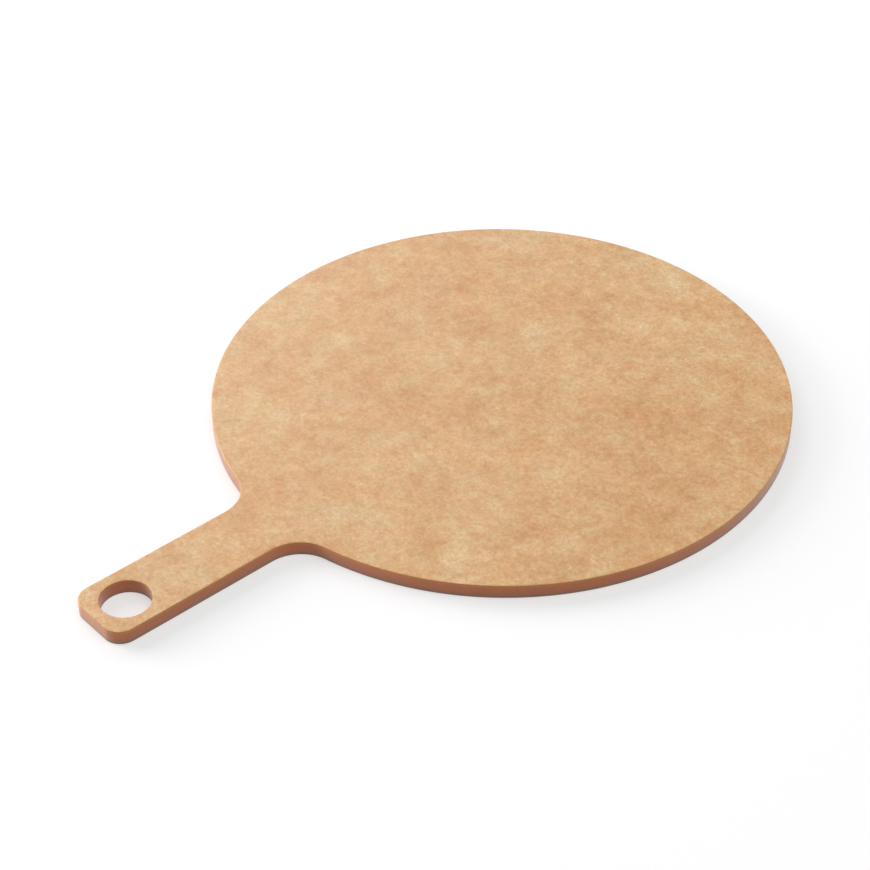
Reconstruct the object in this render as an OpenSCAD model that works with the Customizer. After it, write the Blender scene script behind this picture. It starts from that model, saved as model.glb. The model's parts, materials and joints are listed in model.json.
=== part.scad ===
// Pizza serving board: a round board with a flat handle and a hanging hole.
// It is pressed from resin-soaked fibre sheets: a dark core between two pale face sheets.
// Origin: centre of the round area, on the underside. +Z up, handle towards -Y.

/* [Round area] */
// Diameter of the round area that holds the pizza
disc_d = 300; // [220:5:400]

/* [Sheets] */
// Thickness of the finished board, with both face sheets
board_t = 7.8; // [6:0.1:14]
// Thickness of each face sheet
face_t = 1; // [0.4:0.1:2]
// Radius that eases every outer edge and both lips of the hole
arris_r = 0.4; // [0.3:0.1:2]

/* [Handle] */
// Length of the handle, from the rim of the round area to its end
handle_l = 106; // [80:1:200]
// Width of the handle
handle_w = 37.05; // [31:0.05:60]
// Radius of the two corners at the end of the handle
corner_r = 9.5; // [3:0.5:15]
// Radius of the inward curve where the handle meets the round area
neck_r = 20.34; // [5:0.01:60]

/* [Hanging hole] */
// Diameter of the hanging hole
hole_d = 25; // [10:0.5:30]
// Board left between the hole and the end of the handle
hole_to_end = 6.2; // [4:0.1:20]

/* [Hidden] */
$fn = 128;

// How far a cut runs past the face that it leaves by
overrun = 1;

disc_r = disc_d / 2;
half_w = handle_w / 2;
hole_r = hole_d / 2;
core_t = board_t - 2 * face_t;
// Distance from the origin to the end of the handle, and to the hole's axis
end_y = disc_r + handle_l;
hole_y = end_y - hole_to_end - hole_r;
// Centre of the neck curve at +X: its wall is tangent to the rim and to the side of the handle
neck_x = half_w + neck_r;
neck_y = sqrt(pow(disc_r + neck_r, 2) - pow(neck_x, 2));
// How far the neck's web reaches into the round area and the handle, past their eased edges
web_root = 2 * arris_r + overrun;

face_colour = [0.87, 0.71, 0.53];
core_colour = [0.59, 0.38, 0.25];

// What the easing takes off a square edge at the origin, in the section's plane
module arris_waste() {
    difference() {
        translate([-arris_r, -overrun]) square([arris_r + overrun, arris_r + overrun]);
        translate([-arris_r, arris_r]) circle(r = arris_r);
    }
}

// The waste at the lower and the upper edge of the board
module arris_waste_pair() {
    arris_waste();
    translate([0, board_t]) mirror([0, 1]) arris_waste();
}

// Section of the board from its edge, at x = 0, back to a depth
module edge_section(depth) {
    difference() {
        translate([-depth, 0]) square([depth, board_t]);
        arris_waste_pair();
    }
}

// Section across the whole width of the handle
module handle_section() {
    difference() {
        translate([-half_w, 0]) square([handle_w, board_t]);
        for (side = [0, 1]) mirror([side, 0]) translate([half_w, 0]) arris_waste_pair();
    }
}

// The round area
module disc_form() {
    rotate_extrude() translate([disc_r, 0]) edge_section(disc_r);
}

// The handle from the centre of the round area to where its end corners begin
module handle_form() {
    rotate([90, 0, 0]) linear_extrude(height = end_y - corner_r) handle_section();
}

// The straight part of the handle's end, between its corners
module handle_end_form() {
    translate([corner_r - half_w, -end_y, 0]) rotate([90, 0, 90])
        linear_extrude(height = handle_w - 2 * corner_r) mirror([1, 0]) edge_section(corner_r);
}

// The end corner at +X, a quarter turn
module corner_form() {
    translate([half_w - corner_r, corner_r - end_y, 0]) rotate([0, 0, -90])
        rotate_extrude(angle = 90) translate([corner_r, 0]) edge_section(corner_r);
}

// A round cut through the board that flares at both faces, so that the lips it leaves are eased
module flared_cut(cut_r) {
    rotate_extrude() {
        translate([0, -overrun]) square([cut_r, board_t + 2 * overrun]);
        translate([cut_r, 0]) mirror([1, 0]) arris_waste_pair();
    }
}

// The web that fills the corner at +X between the rim and the handle, hollowed by the neck curve
module neck_form() {
    rim_share = (disc_r - web_root) / (disc_r + neck_r);
    difference() {
        linear_extrude(height = board_t) polygon([
            [neck_x, -neck_y],
            [neck_x * rim_share, -neck_y * rim_share],
            [half_w - web_root, -neck_y * rim_share],
            [half_w - web_root, -neck_y]
        ]);
        translate([neck_x, -neck_y, 0]) flared_cut(neck_r);
    }
}

// The finished outline through the full thickness, as it is routed after pressing
module board_form() {
    difference() {
        union() {
            disc_form();
            handle_form();
            handle_end_form();
            for (side = [0, 1]) mirror([side, 0]) {
                corner_form();
                neck_form();
            }
        }
        translate([0, -hole_y, 0]) flared_cut(hole_r);
    }
}

// One sheet of the board: the finished outline between two heights
module sheet_form(low_z, sheet_t) {
    intersection() {
        board_form();
        translate([-end_y, -end_y, low_z]) cube([2 * end_y, 2 * end_y, sheet_t]);
    }
}

module bottom_face_sheet() {
    color(face_colour) sheet_form(0, face_t);
}

module core() {
    color(core_colour) sheet_form(face_t, core_t);
}

module top_face_sheet() {
    color(face_colour) sheet_form(face_t + core_t, face_t);
}

bottom_face_sheet();
core();
top_face_sheet();
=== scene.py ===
import json
import math

import bmesh
import bpy
from mathutils import Matrix, Vector

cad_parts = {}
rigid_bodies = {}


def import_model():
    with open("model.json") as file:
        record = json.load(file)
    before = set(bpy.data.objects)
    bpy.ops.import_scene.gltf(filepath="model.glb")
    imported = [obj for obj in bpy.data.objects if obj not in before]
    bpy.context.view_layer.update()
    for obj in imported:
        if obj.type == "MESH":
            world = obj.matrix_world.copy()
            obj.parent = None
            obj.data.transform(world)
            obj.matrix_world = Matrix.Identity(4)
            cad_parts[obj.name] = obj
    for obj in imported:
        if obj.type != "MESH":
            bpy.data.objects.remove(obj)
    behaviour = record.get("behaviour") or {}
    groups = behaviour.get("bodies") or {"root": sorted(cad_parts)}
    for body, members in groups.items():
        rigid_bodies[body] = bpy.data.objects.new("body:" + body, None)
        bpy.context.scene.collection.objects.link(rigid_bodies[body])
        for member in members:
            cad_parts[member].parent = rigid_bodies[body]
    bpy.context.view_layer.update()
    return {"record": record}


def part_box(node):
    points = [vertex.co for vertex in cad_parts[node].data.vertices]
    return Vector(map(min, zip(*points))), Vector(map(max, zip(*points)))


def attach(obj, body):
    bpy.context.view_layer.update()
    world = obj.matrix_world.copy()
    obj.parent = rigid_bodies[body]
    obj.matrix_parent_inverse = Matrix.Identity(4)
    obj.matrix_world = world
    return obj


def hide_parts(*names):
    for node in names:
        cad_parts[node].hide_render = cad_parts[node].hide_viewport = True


# Pizza serving board: the looks of a board pressed from resin-soaked fibre sheets.
#
# Everything is in metres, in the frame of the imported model: the origin is the centre of
# the round area on the underside, +Z is up and the handle points towards -Y.

# The startup scene's own cube, lamp and camera aren't part of this one
for startup_object in list(bpy.data.objects):
    bpy.data.objects.remove(startup_object)

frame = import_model()

# ---------------------------------------------------------------------------------------
# Sizes of the board
# ---------------------------------------------------------------------------------------

MM_PER_METRE = 1000

top_low, top_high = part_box("top_face_sheet")
bottom_low, bottom_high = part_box("bottom_face_sheet")
hanging_hole = next(m for m in frame["record"]["mounts"] if m["name"] == "hanging_hole")

DISC_RADIUS = 0.150
HANDLE_END = 0.256
HALF_HANDLE = 0.018525
CORNER_RADIUS = 0.0095
NECK_RADIUS = 0.02034
ARRIS_RADIUS = 0.0004
HOLE_RADIUS = hanging_hole["dims"]["r_mm"] / MM_PER_METRE
HOLE_Y = hanging_hole["pos_m"][1]

# Centre of the neck curve at +X, tangent to the rim and to the side of the handle
NECK_X = HALF_HANDLE + NECK_RADIUS
NECK_Y = -math.sqrt((DISC_RADIUS + NECK_RADIUS) ** 2 - NECK_X**2)

# Heights of the sheets' faces
UNDERSIDE = bottom_low.z
LOWER_JOINT = bottom_high.z
UPPER_JOINT = top_low.z
SERVING_FACE = top_high.z

# Width of the flat strip beside each eased edge, which keeps the shading of the flat level
LEDGE = 0.0016

# How finely the curves are cut
ARRIS_STEPS = 8
CORNER_STEPS = 20
NECK_STEPS = 28
RIM_STEPS = 200
HOLE_STEPS = 96

# Points nearer than this are one point
TOUCHING = 1e-6
# A face is a wall where its normal rises or falls less than WALL_RISE, and flat where it
# does more than FLAT_RISE
WALL_RISE = 0.01
FLAT_RISE = 0.99

# Material slots of each sheet
FACE_SLOT = 0
WALL_SLOT = 1


# ---------------------------------------------------------------------------------------
# Modelling the sheets
# ---------------------------------------------------------------------------------------


def draw_line(bm, tip, step):
    """Draws a straight edge from the tip of the section and returns its new tip."""
    made = bmesh.ops.extrude_vert_indiv(bm, verts=[tip])["verts"]
    bmesh.ops.translate(bm, verts=made, vec=step)
    return made[0]


def draw_arc(bm, tip, centre, angle):
    """Draws an arc of the section about a line along X and returns its new tip."""
    made = bmesh.ops.spin(
        bm, geom=[tip], cent=centre, axis=(1, 0, 0), angle=angle, steps=ARRIS_STEPS
    )["geom_last"]
    return next(part for part in made if isinstance(part, bmesh.types.BMVert))


def draw_section(bm, edge_y, inward, low, high, eased_low, eased_high):
    """Draws a sheet's section at x = 0, from the lower ledge round the edge to the upper.

    The edge stands at edge_y, and the sheet lies from it in the direction inward, 1 or -1.
    """
    tip = bmesh.ops.create_vert(bm, co=(0, edge_y + inward * LEDGE, low))["vert"][0]
    before = set(bm.edges)
    arris = inward * ARRIS_RADIUS
    turn = -inward * math.pi / 2
    foot, head = low, high
    if eased_low:
        foot = low + ARRIS_RADIUS
        tip = draw_line(bm, tip, (0, arris - inward * LEDGE, 0))
        tip = draw_arc(bm, tip, (0, edge_y + arris, foot), turn)
    else:
        tip = draw_line(bm, tip, (0, -inward * LEDGE, 0))
    if eased_high:
        head = high - ARRIS_RADIUS
    tip = draw_line(bm, tip, (0, 0, head - foot))
    if eased_high:
        tip = draw_arc(bm, tip, (0, edge_y + arris, head), turn)
        draw_line(bm, tip, (0, inward * LEDGE - arris, 0))
    else:
        draw_line(bm, tip, (0, inward * LEDGE, 0))
    return [edge for edge in bm.edges if edge not in before]


def with_ends(edges):
    """The edges and the vertices that they join."""
    return list({vert for edge in edges for vert in edge.verts}) + list(edges)


def sweep_straight(bm, section, step):
    """Carries the section along a straight of the outline and returns it at the far end."""
    made = bmesh.ops.extrude_edge_only(bm, edges=section)["geom"]
    moved = [part for part in made if isinstance(part, bmesh.types.BMVert)]
    bmesh.ops.translate(bm, verts=moved, vec=step)
    return [
        part
        for part in made
        if isinstance(part, bmesh.types.BMEdge) and len(part.link_faces) == 1
    ]


def sweep_round(bm, section, centre, angle, steps):
    """Carries the section round a curve of the outline and returns it at the far end."""
    made = bmesh.ops.spin(
        bm,
        geom=with_ends(section),
        cent=(*centre, 0),
        axis=(0, 0, 1),
        angle=angle,
        steps=steps,
    )["geom_last"]
    return [part for part in made if isinstance(part, bmesh.types.BMEdge)]


def sweep_outline(bm, section):
    """Carries the section from the middle of the handle's end round half of the outline."""
    section = sweep_straight(bm, section, (HALF_HANDLE - CORNER_RADIUS, 0, 0))
    corner = (HALF_HANDLE - CORNER_RADIUS, CORNER_RADIUS - HANDLE_END)
    section = sweep_round(bm, section, corner, math.pi / 2, CORNER_STEPS)
    section = sweep_straight(bm, section, (0, NECK_Y - corner[1], 0))
    turn = math.atan2(-NECK_Y, NECK_X)
    section = sweep_round(bm, section, (NECK_X, NECK_Y), -turn, NECK_STEPS)
    sweep_round(bm, section, (0, 0), turn + math.pi / 2, RIM_STEPS)


def fill_flat(bm, height):
    """Closes the flat face of a sheet at this height, from its outline to its hole."""
    rims = [
        edge
        for edge in bm.edges
        if edge.is_boundary and all(abs(v.co.z - height) < TOUCHING for v in edge.verts)
    ]
    bmesh.ops.triangle_fill(bm, use_beauty=True, edges=rims, normal=(0, 0, 1))


def build_sheet(name, low, high, eased_low=False, eased_high=False):
    """A closed sheet of the board between two heights, eased on the sides that show."""
    bm = bmesh.new()
    flags = (low, high, eased_low, eased_high)
    sweep_outline(bm, draw_section(bm, -HANDLE_END, 1, *flags))
    bmesh.ops.mirror(
        bm,
        geom=bm.verts[:] + bm.edges[:] + bm.faces[:],
        matrix=Matrix.Identity(4),
        merge_dist=TOUCHING,
        axis="X",
    )
    lip = draw_section(bm, HOLE_Y + HOLE_RADIUS, 1, *flags)
    bmesh.ops.spin(
        bm,
        geom=with_ends(lip),
        cent=(0, HOLE_Y, 0),
        axis=(0, 0, 1),
        angle=2 * math.pi,
        steps=HOLE_STEPS,
        use_merge=True,
    )
    bmesh.ops.remove_doubles(bm, verts=bm.verts[:], dist=TOUCHING)
    for face in bm.faces:
        face.smooth = True
    fill_flat(bm, low)
    fill_flat(bm, high)
    bmesh.ops.recalc_face_normals(bm, faces=bm.faces[:])
    for face in bm.faces:
        glued_below = not eased_low and face.normal.z < -FLAT_RISE
        glued_above = not eased_high and face.normal.z > FLAT_RISE
        # A sharp edge at the glue plane keeps the wall's shading upright
        if glued_below or glued_above:
            face.smooth = False
            for edge in face.edges:
                edge.smooth = False
        face.material_index = WALL_SLOT if abs(face.normal.z) < WALL_RISE else FACE_SLOT
    mesh = bpy.data.meshes.new(name)
    bm.to_mesh(mesh)
    bm.free()
    sheet = bpy.data.objects.new(name, mesh)
    bpy.context.scene.collection.objects.link(sheet)
    return sheet


top_sheet = build_sheet(
    "top_face_sheet_finished", UPPER_JOINT, SERVING_FACE, eased_high=True
)
core_sheet = build_sheet("core_finished", LOWER_JOINT, UPPER_JOINT)
bottom_sheet = build_sheet(
    "bottom_face_sheet_finished", UNDERSIDE, LOWER_JOINT, eased_low=True
)


# ---------------------------------------------------------------------------------------
# Finishes: helpers
# ---------------------------------------------------------------------------------------

# Room for each node in the editor, and how many rows they step down through
NODE_WIDTH = 190
NODE_HEIGHT = 150
NODE_ROWS = 4

# A colour Mix node's own sockets
MIX_SHARE, MIX_FIRST, MIX_SECOND, MIX_RESULT = 0, 6, 7, 2

# How much deeper each noise is read than the one before it
LAYER_STEP = 61.3

# Noises and tones run from 0 to 1 and swing round this
MIDDLE = 0.5


class Bench:
    """Places nodes in a node tree and joins them, from left to right."""

    def __init__(self, tree):
        self.tree = tree
        self.column = 0
        self.layers = 0

    def put(self, kind, label="", **settings):
        node = self.tree.nodes.new(kind)
        node.label = label
        row = self.column % NODE_ROWS
        node.location = (self.column * NODE_WIDTH, -row * NODE_HEIGHT)
        self.column += 1
        for key, value in settings.items():
            setattr(node, key, value)
        return node

    def feed(self, socket, value):
        """Joins a socket to another, or sets it where a plain value is given."""
        if isinstance(value, bpy.types.NodeSocket):
            self.tree.links.new(value, socket)
        else:
            socket.default_value = value

    def sum(self, operation, *values, label=""):
        node = self.put("ShaderNodeMath", label, operation=operation)
        for socket, value in zip(node.inputs, values):
            self.feed(socket, value)
        return node.outputs[0]

    def vector(self, operation, *values, label=""):
        node = self.put("ShaderNodeVectorMath", label, operation=operation)
        for socket, value in zip(node.inputs, values):
            self.feed(socket, value)
        return node.outputs[0]

    def times(self, vector, factor, label=""):
        """A colour or position times a plain number."""
        node = self.put("ShaderNodeVectorMath", label, operation="SCALE")
        self.feed(node.inputs[0], vector)
        self.feed(node.inputs["Scale"], factor)
        return node.outputs[0]

    def distance(self, position, label=""):
        """How far the position is from the origin."""
        node = self.put("ShaderNodeVectorMath", label, operation="LENGTH")
        self.feed(node.inputs[0], position)
        return node.outputs["Value"]

    def part(self, vector, axis, label=""):
        """One axis of a position, or one channel of a colour, by the name X, Y or Z."""
        node = self.put("ShaderNodeSeparateXYZ", label)
        self.feed(node.inputs[0], vector)
        return node.outputs[axis]

    def stretched(self, position, lengths, turn=0.0, label=""):
        """The position for a pattern stretched to these lengths and turned about Z."""
        node = self.put("ShaderNodeMapping", label, vector_type="TEXTURE")
        self.feed(node.inputs["Vector"], position)
        node.inputs["Rotation"].default_value = (0, 0, turn)
        node.inputs["Scale"].default_value = lengths
        return node.outputs[0]

    def noise(self, position, scale, detail, rough, warp=0.0, label=""):
        """A noise, read at a depth of its own, so that no two noises echo each other."""
        self.layers += 1
        depth = (0, 0, LAYER_STEP * self.layers)
        position = self.vector("ADD", position, depth, label="a layer of its own")
        node = self.put("ShaderNodeTexNoise", label)
        self.feed(node.inputs["Vector"], position)
        node.inputs["Scale"].default_value = scale
        node.inputs["Detail"].default_value = detail
        node.inputs["Roughness"].default_value = rough
        node.inputs["Distortion"].default_value = warp
        return node.outputs["Fac"]

    def swing(self, noise, strength, label=""):
        """How far the noise is off its middle, times a strength."""
        off_middle = self.sum("SUBTRACT", noise, MIDDLE, label=label)
        return self.sum("MULTIPLY", off_middle, strength)

    def spread(self, value, low, high, to_low=0.0, to_high=1.0, soft=False, label=""):
        """Maps the value from one range to another, clamped."""
        node = self.put(
            "ShaderNodeMapRange",
            label,
            interpolation_type="SMOOTHSTEP" if soft else "LINEAR",
        )
        for socket, given in zip(node.inputs, (value, low, high, to_low, to_high)):
            self.feed(socket, given)
        return node.outputs[0]

    def blend(self, share, first, second, label="", kind="MIX"):
        """Blends two colours by a share."""
        node = self.put("ShaderNodeMix", label, data_type="RGBA", blend_type=kind)
        self.feed(node.inputs[MIX_SHARE], share)
        self.feed(node.inputs[MIX_FIRST], first)
        self.feed(node.inputs[MIX_SECOND], second)
        return node.outputs[MIX_RESULT]


def new_group(name, inputs, outputs):
    """A shader node group with named inputs and outputs: its bench and its sockets."""
    tree = bpy.data.node_groups.new(name, "ShaderNodeTree")
    for label, kind, value in inputs:
        socket = tree.interface.new_socket(
            name=label, in_out="INPUT", socket_type=f"NodeSocket{kind}"
        )
        if value is not None:
            socket.default_value = value
    for label, kind in outputs:
        tree.interface.new_socket(
            name=label, in_out="OUTPUT", socket_type=f"NodeSocket{kind}"
        )
    bench = Bench(tree)
    given = bench.put("NodeGroupInput")
    result = tree.nodes.new("NodeGroupOutput")
    return bench, given.outputs, result.inputs


def in_millimetres(bench, position):
    """The position in millimetres, so that the patterns' sizes are easy to read."""
    return bench.vector("MULTIPLY", position, (MM_PER_METRE,) * 3, label="mm")


# ---------------------------------------------------------------------------------------
# Finishes: the pale pressed face
# ---------------------------------------------------------------------------------------

FACE_DEEP = (0.519, 0.226, 0.068, 1)
FACE_MIDDLE = (0.612, 0.35, 0.151, 1)
FACE_PALE = (0.706, 0.498, 0.264, 1)

# The mottle, from wide to fine: name, waves per mm, detail, roughness, warp, the strength
# that it answers to, and its weight in the tone
MOTTLE = (
    ("clouds", 0.012, 1.0, 0.5, 0.0, "Clouds", 0.42),
    ("drifts", 0.033, 1.0, 0.55, 0.4, "Clouds", 0.52),
    ("patches", 0.085, 1.0, 0.55, 0.5, "Patches", 0.64),
    ("flock", 0.2, 1.0, 0.5, 0.4, "Patches", 0.64),
    ("mottle", 0.48, 1.0, 0.5, 0.0, "Patches", 0.5),
    ("grain", 1.15, 2.0, 0.65, 0.0, "Grain", 0.1),
)

# The crumbs of bark: cells per mm, the part of the cells that holds one, how the crumb
# fades from its middle, and what it takes off the tone
CRUMB_CELLS = 0.62
CRUMB_CHOICE = (0.72, 0.95)
CRUMB_FADE = (0.12, 0.42)
CRUMB_DEPTH = -0.16

# The short fibres: the turn of each set and its length and width in mm, how they are cut
# out of their noise, and what they add to the tone
FIBRE_SETS = ((0.35, 6.2, 0.59), (1.45, 5.0, 0.53), (2.5, 7.1, 0.56))
FIBRE_NOISE = (1.0, 1.0, 0.4, 0.2)
FIBRE_CUT = (0.62, 0.78)
FIBRE_LIFT = 0.1

# Tints that aren't part of the tone: name, noise, and the tint at its low and its high end
TINTS = (
    ("pepper", (0.5, 2.0, 1.0, 0.0), (0.84, 0.77, 0.62, 1), (1.16, 1.23, 1.38, 1)),
    (
        "red to green",
        (0.13, 1.0, 0.45, 0.3),
        (1.027, 0.98, 0.987, 1),
        (0.973, 1.02, 1.013, 1),
    ),
    ("gold to pink", (0.035, 2.0, 0.6, 0.5), (1.027, 1.0, 0.95, 1), (0.973, 1.0, 1.05, 1)),
)
TINT_RANGE = (0.25, 0.75)

# What the finer parts of the pattern add to the grain in the relief, and to the gloss
MOTTLE_RELIEF = 0.4
FIBRE_RELIEF = 0.4
PATCH_GLOSS = 0.5


def add_mottle(bench, place, given):
    """The tone, from 0 to 1 round its middle, and the noises that it is made of."""
    tone = MIDDLE
    noises = {}
    for name, scale, detail, rough, warp, strength, weight in MOTTLE:
        noises[name] = bench.noise(place, scale, detail, rough, warp, label=name)
        swing = bench.swing(noises[name], weight, label=name)
        tone = bench.sum(
            "MULTIPLY_ADD", swing, given[strength], tone, label=f"and {name}"
        )
    return tone, noises


def add_crumbs(bench, place, strength):
    """Specks: a few of the small cells hold a dark crumb of bark."""
    cells = bench.put("ShaderNodeTexVoronoi", "crumbs", feature="F1")
    bench.feed(cells.inputs["Vector"], place)
    cells.inputs["Scale"].default_value = CRUMB_CELLS
    draw = bench.part(cells.outputs["Color"], "X", label="one number for each crumb")
    chosen = bench.spread(draw, *CRUMB_CHOICE, label="which crumbs")
    core = bench.spread(cells.outputs["Distance"], *CRUMB_FADE, 1.0, 0.0, soft=True)
    speck = bench.sum("MULTIPLY", chosen, core)
    return bench.sum("MULTIPLY", speck, strength, label="specks")


def add_fibres(bench, place, strength):
    """Thin short strokes in three directions, a little paler than what they lie in."""
    fibre = 0.0
    for turn, length, width in FIBRE_SETS:
        along = bench.stretched(place, (length, width, 1.0), turn)
        strokes = bench.noise(along, *FIBRE_NOISE)
        strokes = bench.spread(strokes, *FIBRE_CUT, soft=True, label="strokes")
        fibre = bench.sum("MAXIMUM", fibre, strokes)
    return bench.sum("MULTIPLY", fibre, strength, label="fibres")


def make_pressed_fibre():
    """The mottled face of the pressed sheets: clouds, patches, grain, specks and fibres."""
    bench, given, result = new_group(
        "pressed_fibre",
        [
            ("Position", "Vector", None),
            ("Deep tone", "Color", FACE_DEEP),
            ("Middle tone", "Color", FACE_MIDDLE),
            ("Pale tone", "Color", FACE_PALE),
            ("Clouds", "Float", 1.0),
            ("Patches", "Float", 1.0),
            ("Grain", "Float", 1.0),
            ("Specks", "Float", 1.0),
            ("Fibres", "Float", 1.0),
        ],
        [("Color", "Color"), ("Height", "Float"), ("Gloss", "Float")],
    )
    place = in_millimetres(bench, given["Position"])
    tone, noises = add_mottle(bench, place, given)
    speck = add_crumbs(bench, place, given["Specks"])
    tone = bench.sum("MULTIPLY_ADD", speck, CRUMB_DEPTH, tone, label="less specks")
    fibre = add_fibres(bench, place, given["Fibres"])
    tone = bench.sum("MULTIPLY_ADD", fibre, FIBRE_LIFT, tone, label="and fibres")

    deep_side = bench.spread(tone, 0.0, MIDDLE)
    pale_side = bench.spread(tone, MIDDLE, 1.0)
    colour = bench.blend(deep_side, given["Deep tone"], given["Middle tone"])
    colour = bench.blend(pale_side, colour, given["Pale tone"])

    # The finest grain is a grey pepper, and patches lean to red or green and gold or pink
    for name, settings, low, high in TINTS:
        share = bench.spread(bench.noise(place, *settings, label=name), *TINT_RANGE)
        tint = bench.blend(share, low, high, name)
        colour = bench.blend(1.0, colour, tint, f"with {name}", "MULTIPLY")

    height = bench.sum("MULTIPLY_ADD", noises["mottle"], MOTTLE_RELIEF, noises["grain"])
    height = bench.sum("MULTIPLY_ADD", fibre, FIBRE_RELIEF, height, label="relief")
    gloss = bench.sum("MULTIPLY_ADD", noises["patches"], PATCH_GLOSS, noises["mottle"])
    bench.feed(result["Color"], colour)
    bench.feed(result["Height"], height)
    bench.feed(result["Gloss"], gloss)
    return bench.tree


# ---------------------------------------------------------------------------------------
# Finishes: the routed edge
# ---------------------------------------------------------------------------------------

EDGE_UPPER = (0.45, 0.137, 0.004, 1)
EDGE_MIDDLE = (0.43, 0.098, 0.004, 1)
# The foot's tone is painted shade where the wall meets the floor: darker than the middle
# tone, and greyer as a painted reflection of the floor
EDGE_FOOT_SHADE = (0.206, 0.102, 0.06, 1)

# Heights over the underside, in mm, between which the foot's painted shade gives way to the
# middle tone, and the middle tone to the upper one
FOOT_SHADE_BLEND = (0.2, 3.3)
UPPER_BLEND = (5.4, 7.2)

# Name, size of the pattern in mm along X, Y and Z, roughness, the strength that it answers
# to, and its weight in the shade
EDGE_PATTERNS = (
    ("plies", (28.0, 28.0, 0.31), 0.6, "Plies", 0.16),
    ("smears", (8.3, 8.3, 3.3), 0.55, "Flecks", 0.32),
    ("flecks", (1.1, 1.1, 2.2), 0.6, "Flecks", 0.4),
)
EDGE_DETAIL = 2.0
FLECK_RELIEF = 0.3


def make_routed_edge():
    """The cut edge of the stack of sheets: its tone by height with painted shade at the
    foot, fine plies and flecks.
    """
    bench, given, result = new_group(
        "routed_edge",
        [
            ("Position", "Vector", None),
            ("Upper tone", "Color", EDGE_UPPER),
            ("Middle tone", "Color", EDGE_MIDDLE),
            ("Foot shade tone", "Color", EDGE_FOOT_SHADE),
            ("Plies", "Float", 1.0),
            ("Flecks", "Float", 1.0),
        ],
        [("Color", "Color"), ("Height", "Float"), ("Gloss", "Float")],
    )
    place = in_millimetres(bench, given["Position"])
    height_mm = bench.part(place, "Z")
    # Painted shade: the wall's colour darkens and greys towards the underside
    lower = bench.spread(height_mm, *FOOT_SHADE_BLEND, soft=True, label="above the foot")
    upper = bench.spread(height_mm, *UPPER_BLEND, soft=True, label="upper third")
    colour = bench.blend(lower, given["Foot shade tone"], given["Middle tone"])
    colour = bench.blend(upper, colour, given["Upper tone"])

    shade = 1.0
    noises = {}
    for name, lengths, rough, strength, weight in EDGE_PATTERNS:
        along = bench.stretched(place, lengths)
        noises[name] = bench.noise(along, 1.0, EDGE_DETAIL, rough, label=name)
        swing = bench.swing(noises[name], given[strength])
        shade = bench.sum("MULTIPLY_ADD", swing, weight, shade, label=f"and {name}")

    height = bench.sum("MULTIPLY_ADD", noises["flecks"], FLECK_RELIEF, noises["plies"])
    bench.feed(result["Color"], bench.times(colour, shade, label="shaded"))
    bench.feed(result["Height"], height)
    bench.feed(result["Gloss"], noises["smears"])
    return bench.tree


# ---------------------------------------------------------------------------------------
# Finishes: where the face ends and the edge begins
# ---------------------------------------------------------------------------------------

# How deep under its face the pale layer has worn through to the brown
TURN_DEPTH = 1.1 * ARRIS_RADIUS


def make_flat_share():
    """1 on the two flat faces and 0 on the cut edge, with the turn on the eased edges."""
    bench, given, result = new_group(
        "flat_share",
        [
            ("Position", "Vector", None),
            ("Underside", "Float", UNDERSIDE),
            ("Serving face", "Float", SERVING_FACE),
            ("Turn", "Float", TURN_DEPTH),
        ],
        [("Share", "Float")],
    )
    height = bench.part(given["Position"], "Z")
    above = bench.sum("SUBTRACT", height, given["Underside"])
    below = bench.sum("SUBTRACT", given["Serving face"], height)
    depth = bench.sum("MINIMUM", above, below, label="depth under the nearer face")
    bench.feed(result["Share"], bench.spread(depth, 0.0, given["Turn"], 1.0, 0.0))
    return bench.tree


pressed_fibre = make_pressed_fibre()
routed_edge = make_routed_edge()
flat_share = make_flat_share()


# ---------------------------------------------------------------------------------------
# Finishes: materials
# ---------------------------------------------------------------------------------------

FACE_IOR = 1.5
EDGE_IOR = 1.6
# Depth of the relief, in metres
FACE_RELIEF = 0.000008
EDGE_RELIEF = 0.00002
# Range of each gloss pattern, and the roughness at its two ends
FACE_SATIN = (0.5, 1.0, 0.38, 0.48)
EDGE_SATIN = (0.3, 0.7, 0.3, 0.42)
# How much smoother the eased edge is than the flat
ARRIS_POLISH = -0.06
# Where the pale face thins out on the eased edge, the brown glows through it
LIP_TONE = (0.6, 0.2, 0.03, 1)
# Shares of the flat between which the edge gives way to the lip, and the lip to the face
EDGE_TO_LIP = (0.0, 0.6)
LIP_TO_FACE = (0.4, 1.0)
# The cut ends of the fibres catch light that grazes the wall
EDGE_FUZZ = 0.42
FUZZ_TONE = (1, 0.95, 0.86, 1)


def start_material(name):
    """An empty material, its bench and the position on the object that its patterns use."""
    material = bpy.data.materials.new(name)
    material.use_nodes = True
    material.node_tree.nodes.clear()
    bench = Bench(material.node_tree)
    place = bench.put("ShaderNodeTexCoord").outputs["Object"]
    return material, bench, place


def place_group(bench, group, place):
    """Places a shared effect in a material and returns its outputs."""
    node = bench.put("ShaderNodeGroup", group.name)
    node.node_tree = group
    bench.feed(node.inputs["Position"], place)
    return node.outputs


def add_relief(bench, height, distance):
    node = bench.put("ShaderNodeBump", "relief")
    node.inputs["Strength"].default_value = 1.0
    node.inputs["Distance"].default_value = distance
    bench.feed(node.inputs["Height"], height)
    return node.outputs[0]


def finish_material(material, bench, colour, roughness, normal, ior, fuzz=0.0):
    shader = bench.put("ShaderNodeBsdfPrincipled", material.name)
    bench.feed(shader.inputs["Base Color"], colour)
    bench.feed(shader.inputs["Roughness"], roughness)
    bench.feed(shader.inputs["Normal"], normal)
    shader.inputs["IOR"].default_value = ior
    shader.inputs["Sheen Weight"].default_value = fuzz
    shader.inputs["Sheen Tint"].default_value = FUZZ_TONE
    out = bench.put("ShaderNodeOutputMaterial")
    bench.tree.links.new(shader.outputs[0], out.inputs["Surface"])
    return material


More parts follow.
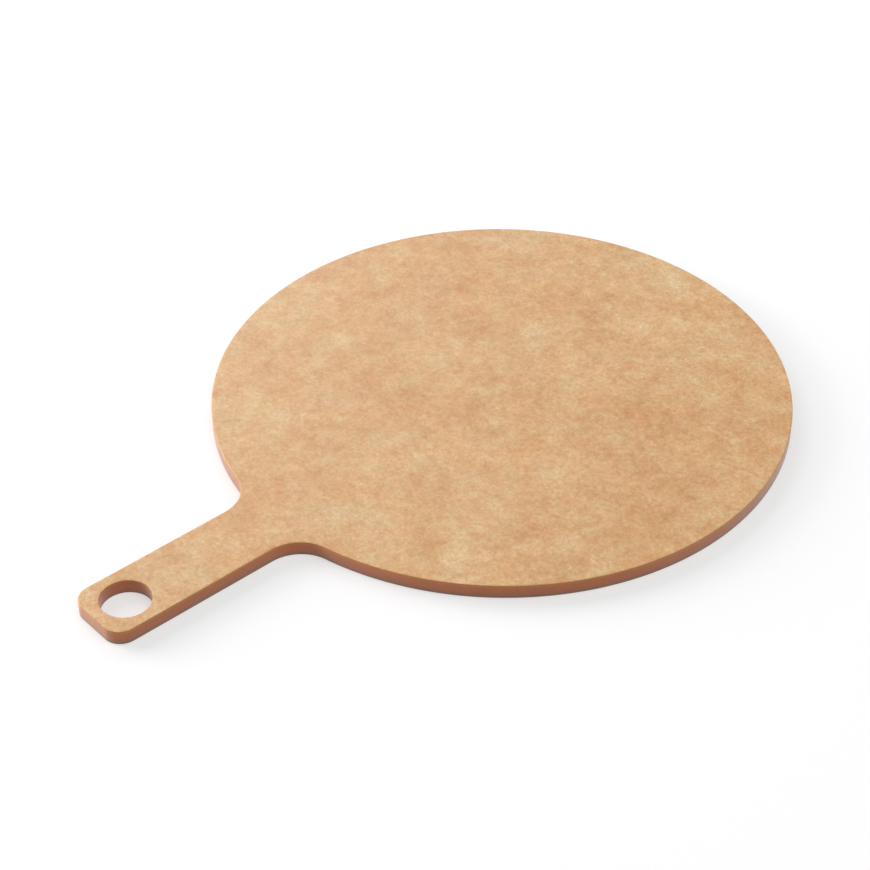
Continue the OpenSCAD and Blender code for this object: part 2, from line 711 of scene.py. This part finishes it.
def make_face_finish():
    """Pale and satin on the flats, and worn down to the brown round the eased edges."""
    material, bench, place = start_material("pale_pressed_face")
    face = place_group(bench, pressed_fibre, place)
    edge = place_group(bench, routed_edge, place)
    flat = place_group(bench, flat_share, place)["Share"]
    lip = bench.spread(flat, *EDGE_TO_LIP, label="from the edge to its lip")
    colour = bench.blend(lip, edge["Color"], LIP_TONE, "edge or lip")
    flat_part = bench.spread(flat, *LIP_TO_FACE, label="from the lip to the face")
    colour = bench.blend(flat_part, colour, face["Color"], "lip or face")
    turned = bench.sum("SUBTRACT", 1.0, flat, label="on the turn")
    roughness = bench.spread(face["Gloss"], *FACE_SATIN, label="satin")
    roughness = bench.sum("MULTIPLY_ADD", turned, ARRIS_POLISH, roughness)
    height = bench.sum("MULTIPLY", face["Height"], flat)
    normal = add_relief(bench, height, FACE_RELIEF)
    return finish_material(material, bench, colour, roughness, normal, FACE_IOR)


def make_edge_finish():
    """The routed brown wall of the outline and the hole."""
    material, bench, place = start_material("brown_pressed_core")
    edge = place_group(bench, routed_edge, place)
    roughness = bench.spread(edge["Gloss"], *EDGE_SATIN, label="routed")
    normal = add_relief(bench, edge["Height"], EDGE_RELIEF)
    return finish_material(
        material, bench, edge["Color"], roughness, normal, EDGE_IOR, EDGE_FUZZ
    )


face_finish = make_face_finish()
edge_finish = make_edge_finish()

# Each piece has one finish for its flat and eased faces and one for its upright cut wall
for piece, node, slot, finish in (
    (bottom_sheet, "bottom_face_sheet", "face_sheet", face_finish),
    (core_sheet, "core", "core", edge_finish),
    (top_sheet, "top_face_sheet", "face_sheet", face_finish),
):
    piece.data.materials.append(finish)
    piece.data.materials.append(edge_finish)
    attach(piece, "root")
    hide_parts(node)


# ---------------------------------------------------------------------------------------
# Floor, light and camera
# ---------------------------------------------------------------------------------------

# The board doesn't quite touch the floor, so that no two faces lie in one plane
FLOOR_GAP = 0.00005
FLOOR_HALF = 6.0
# The paper's own colour, in which it lights the board
PAPER = (0.9, 0.9, 0.9, 1)
# How deep its shadows look, and the white that is added to it in the camera's eyes
PAPER_DEPTH = (0.632, 0.573, 0.58, 1)
PAPER_GLOW = 0.446
PAPER_GLOW_COLOUR = (0.885, 1, 0.995, 1)
# How far from the board the paper starts to run into plain white, and is all white
PAPER_FADE = (0.5, 1.3)

WHITE = (1, 1, 1, 1)
BLACK = (0, 0, 0, 1)

# Strength of the even light from all round, and of the white that is seen past the floor
TENT_LIGHT = 0.28
TENT_SEEN = 1.0

# Name, plan angle and elevation in degrees, distance, width and height in metres, and watts
SOFTBOXES = (
    ("key_softbox", 210, 12, 3.2, 1.8, 1.1, 84),
    ("back_softbox", 175, 26, 3.2, 4.0, 2.4, 77),
    ("top_softbox", 0, 76, 4.0, 3.0, 3.0, 50),
    ("right_softbox", 35, 38, 4.0, 3.0, 2.0, 18),
)

# The camera's place and turn, found by fitting the board's outline
CAMERA_AZIMUTH = math.radians(48.878)
CAMERA_ELEVATION = math.radians(38.877)
CAMERA_ROLL = math.radians(-0.556)
CAMERA_DISTANCE = 1.12675
CAMERA_AIM = Vector((-0.001844, -0.044254, 0.0))
CAMERA_CLIP = (0.05, 50)
PICTURE_WIDTH = 870
FOCAL_PIXELS = 2203.27
SENSOR_WIDTH = 36.0


def seen_share(bench):
    """1 on rays from the camera, a mirror or a clear piece, and 0 on those that light."""
    rays = bench.put("ShaderNodeLightPath").outputs
    seen = bench.sum("MAXIMUM", rays["Is Camera Ray"], rays["Is Glossy Ray"])
    return bench.sum("MAXIMUM", seen, rays["Is Transmission Ray"])


def make_paper():
    """Plain paper that lights the board and is seen white, with its shadow on it."""
    material, bench, place = start_material("studio_paper")
    seen = seen_share(bench)
    away = bench.distance(place, label="how far away")
    far = bench.spread(away, *PAPER_FADE, soft=True, label="far")
    depth = bench.blend(far, PAPER_DEPTH, BLACK, "depth of the shadows")
    glow = bench.blend(far, PAPER_GLOW_COLOUR, WHITE, "colour of the glow")
    strength = bench.spread(far, 0.0, 1.0, PAPER_GLOW, 1.0, label="glow")
    paper = bench.put("ShaderNodeBsdfPrincipled")
    bench.feed(paper.inputs["Base Color"], bench.blend(seen, PAPER, depth))
    paper.inputs["Roughness"].default_value = 1.0
    paper.inputs["Specular IOR Level"].default_value = 0.0
    bench.feed(paper.inputs["Emission Color"], glow)
    bench.feed(paper.inputs["Emission Strength"], bench.sum("MULTIPLY", seen, strength))
    out = bench.put("ShaderNodeOutputMaterial")
    bench.tree.links.new(paper.outputs[0], out.inputs["Surface"])
    return material


def add_floor():
    """A wide pale floor just under the board."""
    bm = bmesh.new()
    bmesh.ops.create_grid(bm, x_segments=1, y_segments=1, size=FLOOR_HALF)
    mesh = bpy.data.meshes.new("studio_floor")
    bm.to_mesh(mesh)
    bm.free()
    floor = bpy.data.objects.new("studio_floor", mesh)
    bpy.context.scene.collection.objects.link(floor)
    mesh.materials.append(make_paper())
    floor.location.z = -FLOOR_GAP


def light_the_world():
    """Even light from all round, and white where the view goes past the floor."""
    world = bpy.data.worlds.new("studio_tent")
    bpy.context.scene.world = world
    world.use_nodes = True
    world.node_tree.nodes.clear()
    bench = Bench(world.node_tree)
    strength = bench.spread(seen_share(bench), 0.0, 1.0, TENT_LIGHT, TENT_SEEN)
    tent = bench.put("ShaderNodeBackground")
    tent.inputs["Color"].default_value = WHITE
    bench.feed(tent.inputs["Strength"], strength)
    out = bench.put("ShaderNodeOutputWorld")
    bench.tree.links.new(tent.outputs[0], out.inputs["Surface"])


def add_softbox(name, plan_angle, elevation, distance, width, height, power):
    """A soft lamp that shines at the board from a plan angle and an elevation."""
    lamp = bpy.data.lights.new(name, "AREA")
    lamp.shape = "RECTANGLE"
    lamp.size, lamp.size_y = width, height
    lamp.energy = power
    a, e = math.radians(plan_angle), math.radians(elevation)
    away = Vector((math.cos(a) * math.cos(e), math.sin(a) * math.cos(e), math.sin(e)))
    holder = bpy.data.objects.new(name, lamp)
    holder.location = away * distance
    holder.rotation_mode = "QUATERNION"
    holder.rotation_quaternion = away.to_track_quat("Z", "Y")
    bpy.context.scene.collection.objects.link(holder)


def add_camera():
    back = Vector(
        (
            math.sin(CAMERA_AZIMUTH) * math.cos(CAMERA_ELEVATION),
            -math.cos(CAMERA_AZIMUTH) * math.cos(CAMERA_ELEVATION),
            math.sin(CAMERA_ELEVATION),
        )
    )
    right = Vector((math.cos(CAMERA_AZIMUTH), math.sin(CAMERA_AZIMUTH), 0))
    up = back.cross(right)
    c, s = math.cos(CAMERA_ROLL), math.sin(CAMERA_ROLL)
    right, up = c * right + s * up, c * up - s * right
    lens = bpy.data.cameras.new("camera")
    lens.sensor_width = SENSOR_WIDTH
    lens.lens = FOCAL_PIXELS / PICTURE_WIDTH * SENSOR_WIDTH
    lens.clip_start, lens.clip_end = CAMERA_CLIP
    camera = bpy.data.objects.new("camera", lens)
    turn = Matrix((right, up, back)).transposed().to_4x4()
    camera.matrix_world = Matrix.Translation(CAMERA_AIM + back * CAMERA_DISTANCE) @ turn
    bpy.context.scene.collection.objects.link(camera)
    bpy.context.scene.camera = camera


add_floor()
light_the_world()
for softbox in SOFTBOXES:
    add_softbox(*softbox)
add_camera()
bpy.context.scene.view_settings.view_transform = "Standard"
